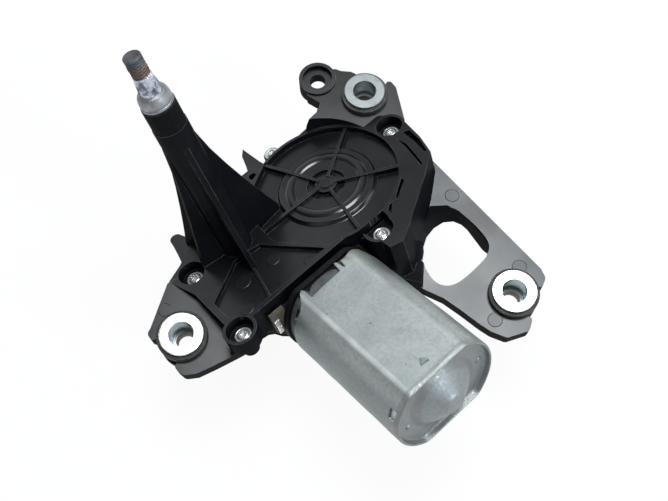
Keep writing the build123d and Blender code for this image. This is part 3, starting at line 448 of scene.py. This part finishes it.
def loft(work, rings, closed=False):
    # Joins rings of points into a skin; the ends get caps, or the last ring joins the first.
    made = [[work.verts.new(point) for point in ring] for ring in rings]
    pairs = list(zip(made, made[1:])) + ([(made[-1], made[0])] if closed else [])
    for low, high in pairs:
        for k in range(len(low)):
            n = (k + 1) % len(low)
            work.faces.new((low[k], low[n], high[n], high[k]))
    if not closed:
        work.faces.new(made[0])
        work.faces.new(made[-1])


def turn(work, centre, profile, steps, shape=None, closed=False):
    # Adds a turned body: profile lists (radius, height) upwards, shape may bend each point.
    rings = []
    for radius, height in profile:
        ring = []
        for k in range(steps):
            angle = 2 * pi * k / steps
            r = shape(radius, height, angle) if shape else radius
            ring.append((centre[0] + r * cos(angle), centre[1] + r * sin(angle), height))
        rings.append(ring)
    loft(work, rings, closed)


def wave(turns):
    # Triangle wave from 0 to 1 and back, once in each whole turn.
    return 1 - abs(2 * (turns % 1) - 1)


def dent(r, z, angle, fineness):
    # Unevenness from -1 to 1 at a point of a turned body.
    return noise.noise(Vector((r * cos(angle), r * sin(angle), z)) * fineness)


# Output spindle and its cap

spindle_centre = (-18.0, 49.1)
cap_base = 100.3
cap_top = 107.3
thread_base = 116.0
tip = 125.3


def spindle():
    # Shaft, knurled taper and threaded end, with the wear of a nut taken off.
    shaft_r, foot_r, thread_r = 5.0, 4.0, 4.0
    foot, shoulder = -30.5, -29.2
    taper_r, taper_drop, taper_steps = 4.95, 0.95, 10
    knurls, knurl_depth, worn_share, worn_below = 40, 0.34, 0.3, -0.25
    pitch, thread_depth, thread_row = 1.25, 0.62, 0.16
    point_height = 1.3

    def shape(r, z, angle):
        uneven = dent(r, z, angle, 0.7)
        if z < cap_top:
            return r
        if z < thread_base - 0.2:
            depth = knurl_depth * wave(angle / (2 * pi) * knurls)
            return r - depth * (1 if uneven > worn_below else worn_share) + 0.1 * uneven
        if z < tip - point_height:
            return r - thread_depth * wave(z / pitch - angle / (2 * pi)) ** 0.8 + 0.12 * uneven
        return r + 0.05 * uneven

    rows = [(foot_r, foot), (foot_r, shoulder - 0.1), (shaft_r, shoulder), (shaft_r, cap_top - 0.3)]
    for k in range(taper_steps + 1):
        height = cap_top + (thread_base - cap_top) * k / taper_steps
        rows.append((taper_r - taper_drop * k / taper_steps, height))
    thread_rows = int((tip - point_height - thread_base) / thread_row)
    rows += [(thread_r, thread_base + 0.1 + thread_row * k) for k in range(thread_rows)]
    rows += [(3.5, tip - 1.25), (3.45, tip - 1.05), (3.9, tip - 0.9), (3.9, tip - 0.35)]
    rows += [(3.6, tip), (0.4, tip)]
    work = bmesh.new()
    turn(work, spindle_centre, rows, 160, shape)
    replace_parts(keep("spindle", work, "spindle", "spindle_steel"), "output_spindle")


def cap():
    # The silver cap under the taper: a rounded collar with a rolled lower rim.
    bore_r, rim_r, waist_r = 5.05, 7.3, 7.0
    dome_foot, dome_r, dome_height, dome_steps = cap_base + 2.1, 1.75, 4.5, 8

    def shape(r, z, angle):
        return r + dent(r, z, angle, 0.35) * (0.18 if z > cap_base + 1 else 0.05)

    rows = [(bore_r, cap_base), (7.2, cap_base), (rim_r, cap_base + 0.3), (rim_r, cap_base + 1.1)]
    rows += [(waist_r, cap_base + 1.35), (7.05, cap_base + 1.7), (7.15, dome_foot)]
    for k in range(1, dome_steps + 1):
        angle = radians(90 * k / dome_steps)
        rows.append((5.4 + dome_r * cos(angle), dome_foot + dome_height * sin(angle)))
    rows += [(bore_r, cap_top)]
    work = bmesh.new()
    turn(work, spindle_centre, rows, 72, shape)
    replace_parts(keep("cap", work, "spindle", "cap_metal"), "spindle_cap")


# Case: cover screws, the dish's ridge, webs and marks

wheel_centre = (-13.3, 103.3)
cover_screw_foot = -36.0
short_screw_foot = -11.2


def screws():
    # Pan head screws with a star drive: three round the wheel, one at the tower's foot, and the
    # short one beside the motor.
    seat = -2.4
    shank_r, head_r, drive_r, drive_depth = 2.0, 4.3, 1.95, 0.2
    places = []
    for direction, out in ((92.1, 46.0), (-3.0, 44.6), (183.9, 44.6)):
        x = wheel_centre[0] + out * cos(radians(direction))
        y = wheel_centre[1] + out * sin(radians(direction))
        places.append((x, y, cover_screw_foot))
    places += [(-22.4, 23.3, cover_screw_foot), (23.5, 20.5, short_screw_foot)]
    work = bmesh.new()
    for n, (x, y, foot) in enumerate(places):
        def shape(r, z, angle, lean=n * 0.7):
            if r < drive_r and z > seat:
                return r * (1 - drive_depth * wave((angle + lean) * 3 / pi))
            return r

        rows = [(0.6, foot), (shank_r, foot + 1.2), (shank_r, seat), (head_r - 0.1, seat)]
        rows += [(head_r, seat + 0.4), (head_r, seat + 1.1), (4.1, seat + 1.4), (3.75, seat + 1.5)]
        rows += [(3.3, seat + 1.35), (3.0, seat + 1.5), (2.6, seat + 1.9), (2.2, seat + 2.1)]
        rows += [(1.94, seat + 2.1), (1.85, seat + 1.9), (1.7, seat + 0.9), (0.3, seat + 0.6)]
        turn(work, (x, y), rows, 48, shape)
    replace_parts(keep("screws", work, "case", "zinc_steel", 30), "cover_screws")


def dish_ridge():
    # The low rounded ridge round the middle of the dish, and the rounded foot of its step.
    floor, step_top, buried = 0.2, 1.8, 0.4
    ridge_r, ridge_half, ridge_height, ridge_steps = 19.0, 2.6, 0.42, 14
    foot_in, foot_r, foot_width, foot_height, foot_steps = 24.2, 24.6, 1.7, 1.6, 8
    work = bmesh.new()
    profile = []
    for k in range(ridge_steps + 1):
        up = ridge_height * (1 - cos(2 * pi * k / ridge_steps))
        profile.append((ridge_r - ridge_half * cos(pi * k / ridge_steps), step_top + 0.02 + up))
    profile += [(ridge_r + ridge_half, step_top - buried), (ridge_r - ridge_half, step_top - buried)]
    turn(work, wheel_centre, profile, 144, None, True)
    profile = [(foot_in, step_top + 0.05)]
    for k in range(foot_steps + 1):
        up = foot_height * (1 - k / foot_steps) ** 1.6
        profile.append((foot_r + foot_width * k / foot_steps, floor + up))
    profile += [(foot_r + foot_width, floor - buried), (foot_in, floor - buried)]
    turn(work, wheel_centre, profile, 144, None, True)
    keep("dish_ridge", work, "case", "housing_plastic", 50, finish=bead_finish)


def arm_root():
    # Sloped web where the long arm runs into the case, and the sloped wall round its window's
    # far corner: each place of the wall gives its outer x, y and its inner x, y.
    web_base, wall_top, sill_top, sill_base = -10.0, -3.0, -12.0, -12.5
    web = (
        (40.5, 108.5, 2.0), (42.0, 113.6, 3.5), (43.6, 115.6, 1.5), (46.4, 114.2, -4.9),
        (48.8, 111.0, -5.4), (48.6, 107.4, -5.4), (45.0, 105.6, -3.0),
    )
    wall = (
        (42.3, 112.7, 41.7, 118.0), (38.5, 119.6, 39.6, 123.8), (34.8, 126.4, 38.6, 129.6),
        (31.1, 133.2, 39.5, 135.3), (36.6, 139.8, 42.6, 139.4), (43.0, 141.6, 46.7, 141.1),
        (49.7, 142.0, 50.9, 141.2), (59.0, 140.8, 55.2, 140.4), (66.2, 139.1, 63.0, 139.0),
    )
    work = bmesh.new()
    loft(work, [[(x, y, web_base) for x, y, _ in web], web])
    loft(work, [
        [(far_x, far_y, wall_top), (x, y, sill_top), (x, y, sill_base), (far_x, far_y, sill_base)]
        for far_x, far_y, x, y in wall
    ])
    bmesh.ops.triangulate(work, faces=[f for f in work.faces if len(f.verts) > 4])
    keep("arm_root", work, "case", "housing_plastic", 60, lugs, mark_finish)


def ring_marks():
    # Faint round marks that the mould's pins leave, by place and radius.
    rim = [(0.0, -0.4), (0.0, 0.10), (-0.3, 0.2)]
    panel_top = 1.4
    lug_top = -5.0
    on_case = ((2, 56, 3.7), (17, 51, 2.3), (15, 30, 3.5), (1, 38, 4.0), (17, 67, 2.5))
    on_lugs = ((33.9, 146.2, 3.6), (83.3, 142.8, 3.6), (94.0, 114.6, 3.6), (-16.5, 2.1, 3.4))
    groups = (
        ("pin_marks_case", gear, panel_top, on_case),
        ("pin_marks_lugs", lugs, lug_top, on_lugs),
    )
    for name, axes, top, marks in groups:
        work = bmesh.new()
        for x, y, radius in marks:
            turn(work, (x, y), [(radius + out, top + up) for out, up in rim], 48)
        keep(name, work, "case", "housing_plastic", 8, axes, mark_finish)


# Motor can: x runs along the motor, and angles go round its axis from +Y to +Z in degrees

can_y = 65.9
can_z = -17.0
can_half_width = 28.0
can_half_height = 22.3
can_flat_half = 15.5
can_end = 104.5
can_tail = 107.5
dome_tip = 113.5
sheet = 1.3
cut_end = 42

# Front edge of the drawn sheet, as (angle, x): lugs at both ends of the upper flat
front_edge = [
    (-180, 35.4), (-160, 35.4), (0, 36.0), (28, 34.0), (35, 31.0), (40, 28.6), (48, 29.6),
    (58, 31.5), (61, 32.2), (66, 31.8), (66.8, 34.6), (67.4, 35.9), (68.6, 35.9), (69.6, 33.4),
    (70.4, 30.8), (73.2, 30.4), (73.9, 32.6), (74.6, 35.6), (76, 36.2), (95, 36.4), (116, 36.8),
    (118.2, 37.2), (118.8, 36.8), (119.3, 31.2), (120.4, 30.2), (122.2, 30.3), (124.4, 31.6),
    (127, 33.4), (131, 35.4), (136, 36.4), (150, 36.2), (160, 35.4), (180, 35.4),
]

# Square pocket near the tail, from and to in x, then in angle
pocket = (101.3, 105.1, 147.6, 160.6)


def can_radius(angle, inset):
    # Distance from the can's axis to its skin: two flats and two round sides, with soft bends.
    soft = 1.5
    half_w = can_half_width - inset
    half_h = can_half_height - inset
    middle = (half_w ** 2 - can_flat_half ** 2 - half_h ** 2) / (2 * (half_w - can_flat_half))
    bow = half_w - middle
    side = middle * abs(cos(angle)) + (bow ** 2 - (middle * sin(angle)) ** 2) ** 0.5
    flat = half_h / max(abs(sin(angle)), 1e-6)
    near = max(soft - abs(side - flat), 0)
    return min(side, flat) - near ** 2 / (4 * soft)


def can_point(x, degrees, radius):
    angle = radians(degrees)
    return (x, can_y + radius * cos(angle), can_z + radius * sin(angle))


def cut_edge(degrees):
    # Where the sheet starts at that angle: straight lines through the front edge's points.
    for (a, first), (b, second) in zip(front_edge, front_edge[1:]):
        if degrees <= b:
            return first + (second - first) * max(degrees - a, 0) / (b - a)


def spread(low, high, steps, extra):
    # Even steps from low to high, with the extra places among them.
    return sorted({low + (high - low) * k / steps for k in range(steps + 1)} | set(extra))


def pressed(x, degrees):
    # Depth of what is pressed into the skin: the square pocket and shallow dents.
    low_x, high_x, low_a, high_a = pocket
    pocket_depth, dent_depth = 1.3, 0.12
    mm_per_degree = 0.45
    to_side = min((degrees - low_a) * mm_per_degree, (high_a - degrees) * mm_per_degree)
    inside = min(x - low_x, high_x - x, to_side) > 0
    where = Vector((x * 0.05, cos(radians(degrees)), sin(radians(degrees)))) * 2.2
    return (pocket_depth if inside else 0) + dent_depth * noise.noise(where)


def can():
    # Drawn sheet with a cut front edge, a rolled tail rim, a sunk end and the bearing dome.
    low_x, high_x, low_a, high_a = pocket
    border_degrees, border = 0.5, 0.15
    inner_inset, inner_front, inner_tail, seat_r = sheet + 0.5, 44, can_end - 1.6, 6
    edge_roll = ((0.0, sheet), (0.0, 0.35), (0.04, 0.05), (0.2, 0), (0.45, 0), (0.75, 0))
    rim_roll = (
        (can_tail - 0.7, 0.12), (can_tail - 0.25, 0.4), (can_tail, 0.85), (can_tail - 0.15, 1.25),
        (can_tail - 0.8, 1.5), (can_end + 0.9, 1.6), (can_end + 0.3, 1.9), (can_end, 2.6),
    )
    end_inset = 2.6
    dome_foot, dome_neck, dome_steps, dome_bulge = 18.6, 7.4, 8, 0.92
    dome_rise = dome_tip - can_end
    dimple_places = ((87.9, -19.0), (45.2, -20.2))
    dimple = ((1.5, -0.2), (1.5, 0.1), (1.2, 0.5), (0.7, 0.72), (0.2, 0.78))
    pocket_sides = [low_a, low_a + border_degrees, high_a, high_a - border_degrees]
    pocket_ends = [low_x, low_x + border, high_x, high_x - border]
    angles = spread(-180, 179, 240, [a for a, _ in front_edge[1:-1]] + pocket_sides)
    lengths = spread(cut_end, can_tail - 1.2, 70, pocket_ends)

    def ring(x_at, radius_at):
        return [can_point(x_at(a), a, radius_at(x_at(a), a)) for a in angles]

    def level(x, radius_at):
        return ring(lambda a: x, radius_at)

    def outer(inset):
        return lambda x, a: can_radius(radians(a), inset) - pressed(x, a)

    def inner(inset):
        return lambda x, a: can_radius(radians(a), inset)

    def round_line(radius):
        return lambda x, a: radius

    rings = [level(inner_tail, round_line(seat_r)), level(inner_tail, inner(inner_inset))]
    rings.append(level(inner_front, inner(inner_inset)))
    for share, inset in edge_roll:
        skin = inner(inset) if inset == sheet else outer(inset)
        rings.append(ring(lambda a: cut_edge(a) + (cut_end - cut_edge(a)) * share, skin))
    rings += [level(x, outer(0)) for x in lengths]
    rings += [level(x, inner(inset)) for x, inset in rim_roll]
    for share in (0.35, 0.7):
        rings.append(level(
            can_end, lambda x, a: inner(end_inset)(x, a) * (1 - share) + dome_foot * share))
    flank_r = dome_foot - 1.2
    dome = [(dome_foot + 0.3, 0), (dome_foot - 0.4, 0.12), (flank_r, 0.6)]
    for k in range(1, dome_steps + 1):
        share = k / dome_steps
        radius = flank_r - (dome_foot - dome_neck) * k / dome_steps
        dome.append((radius, 0.6 + (dome_rise - 1.5) * share ** dome_bulge))
    dome += [(5.7, dome_rise - 0.45), (5.2, dome_rise - 0.15)]
    dome += [(radius, dome_rise) for radius in (4.6, 2.4, 0.5)]
    rings += [level(can_end + height, round_line(radius)) for radius, height in dome]
    work = bmesh.new()
    loft(work, rings)
    for y, z in dimple_places:
        loft(work, [
            [(can_end + up, y + r * cos(k * pi / 8), z + r * sin(k * pi / 8)) for k in range(16)]
            for r, up in dimple
        ])
    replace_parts(keep("can", work, "case", "can_steel", 40), "motor_can")


def can_neck():
    # Duller sheet inside the can's front edge, with its slot.
    front = 30.1
    slot_from, slot_to, slot_low, slot_high, slot_depth = 33.6, 38, 138.5, 150.7, 3.0
    slot_sides = [138.2, 138.8, 150.4, 151.0]
    back_from, back_to, back_middle, back_half, back_cut = 72, 119, 95.5, 23, 3.2
    thick, skin = 3.9, 1.58
    profile = (
        (front, thick), (front, 2.2), (30.6, 1.62), (33.4, skin), (33.8, skin), (37.6, skin),
        (38.1, skin), (43.0, skin), (43.0, thick),
    )

    def start(degrees):
        if back_from < degrees < back_to:
            return front + back_cut * (abs(degrees - back_middle) / back_half) ** 4
        return front

    rings = []
    for x, inset in profile:
        ring = []
        for degrees in spread(-180, 179, 180, slot_sides):
            first = start(degrees) + x - front if x < 33 else start(degrees) + 0.6
            in_slot = slot_from < x < slot_to and slot_low < degrees < slot_high
            radius = can_radius(radians(degrees), inset) - (slot_depth if in_slot else 0)
            ring.append(can_point(max(x, first), degrees, radius))
        rings.append(ring)
    work = bmesh.new()
    loft(work, rings, True)
    keep("can_neck", work, "case", "can_steel", 35, finish=neck_finish)


def lance():
    # Small tongue pressed up from the can's upper flat.
    top = can_z + can_half_height
    low = [(97.0, 64.6, top - 0.3), (101.6, 66.9, top - 0.3), (101.1, 62.3, top - 0.3)]
    high = [(97.2, 64.7, top + 0.02), (101.1, 66.5, top + 1.5), (100.6, 62.9, top + 1.2)]
    work = bmesh.new()
    loft(work, [low, high])
    keep("lance", work, "case", "can_steel", 20)


def pocket_floor():
    # The bluish sheet seen in the square pocket beside the tail.
    low_x, high_x, low_a, high_a = pocket
    near_x, far_x, near_a, far_a = low_x + 0.3, high_x - 0.4, low_a + 1.2, high_a - 0.8
    corners = ((near_x, near_a), (near_x, far_a), (far_x, far_a), (far_x, near_a))
    work = bmesh.new()
    loft(work, [
        [can_point(x, a, can_radius(radians(a), inset)) for x, a in corners]
        for inset in (1.55, 1.05)
    ])
    keep("pocket_floor", work, "case", "can_steel", 20, finish=pocket_finish)


dress_nodes()
spindle()
cap()
screws()
can()
can_neck()
lance()
pocket_floor()
dish_ridge()
arm_root()
ring_marks()


# Studio, in metres

sky_tint = (0.93, 0.96, 1.0, 1)
sky_strength = 0.17
paper = (0.9, 0.9, 0.9, 1)
paper_glow = 0.93
floor_width = 60
floor_gap = 0.002
wall_radius = 4
wall_height = 1.4
lamp_target = Vector((0.02, 0.07, 0))

# Name, direction from the part, distance, width, watts and tint of each round lamp
lamps = (
    ("overhead", (-0.14, 0.23, 0.96), 1.2, 0.6, 11.8, (0.93, 0.975, 1.0)),
    ("left_wall", (-0.85, 0.25, 0.45), 1.5, 1.2, 1.7, (0.95, 0.97, 1.0)),
    ("window", (0.35, 0.85, 0.75), 1.5, 0.8, 3, (0.92, 0.96, 1.0)),
    ("front_fill", (0.2, -0.9, 0.6), 1.6, 1.0, 0.7, (1, 1, 1)),
    ("right_wall", (0.82, 0.22, 0.52), 1.5, 0.5, 11.0, (0.88, 0.94, 1.0)),
)


def background_rays(f):
    # 1 for the rays that show the background: seen, mirrored or through glass.
    seen, mirrored, through = [
        f.node("ShaderNodeLightPath", output=f"Is {kind} Ray")
        for kind in ("Camera", "Glossy", "Transmission")
    ]
    return seen.math("MAXIMUM", mirrored).math("MAXIMUM", through)


def studio_world():
    world = bpy.data.worlds.new("studio")
    bpy.context.scene.world = world
    world.use_nodes = True
    sky = next(n for n in world.node_tree.nodes if n.type == "BACKGROUND")
    sky.inputs["Color"].default_value = sky_tint
    sky.inputs["Strength"].default_value = sky_strength


def backdrop():
    # A pale floor and far wall: white where seen or mirrored, with the part's faint shadow.
    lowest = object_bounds()[0][2]
    bpy.ops.mesh.primitive_plane_add(size=floor_width, location=(0, 0, lowest - floor_gap))
    floor = bpy.context.object
    floor.name = "floor"
    bpy.ops.mesh.primitive_cylinder_add(
        vertices=64, radius=wall_radius, depth=wall_height, end_fill_type="NOTHING",
        location=(0, 0, lowest))
    wall = bpy.context.object
    wall.name = "wall"
    f = Finish("floor_pale").set(base_color=paper, roughness=0.9)
    lit = Signal(f, f.shader.outputs[0])
    glow = f.node("ShaderNodeEmission", None, {"Strength": 1.0})
    share = background_rays(f) * paper_glow
    blend = f.node("ShaderNodeMixShader", None, {0: share, 1: lit, 2: glow})
    f.put(f.output.inputs["Surface"], blend)
    for thing in (floor, wall):
        thing.data.materials.append(f.material)


def lamp(name, direction, distance, width, watts, tint):
    light = bpy.data.lights.new(name, "AREA")
    light.shape = "DISK"
    light.size = width
    light.energy = watts
    light.color = tint
    thing = bpy.data.objects.new(name, light)
    aim = Vector(direction).normalized()
    thing.location = lamp_target + aim * distance
    thing.rotation_euler = aim.to_track_quat("Z", "Y").to_euler()
    bpy.context.scene.collection.objects.link(thing)


def photo_camera():
    data = bpy.data.cameras.new("photo_camera")
    data.lens = camera_lens
    data.sensor_width = film_width
    data.clip_start = nearest_view
    thing = bpy.data.objects.new("photo_camera", data)
    axes = Matrix((camera_right, camera_up, camera_back)).transposed()
    thing.matrix_world = Matrix.Translation(camera_place) @ axes.to_4x4()
    bpy.context.scene.collection.objects.link(thing)
    bpy.context.scene.camera = thing


studio_world()
backdrop()
for values in lamps:
    lamp(*values)
photo_camera()
bpy.context.scene.view_settings.view_transform = "Standard"
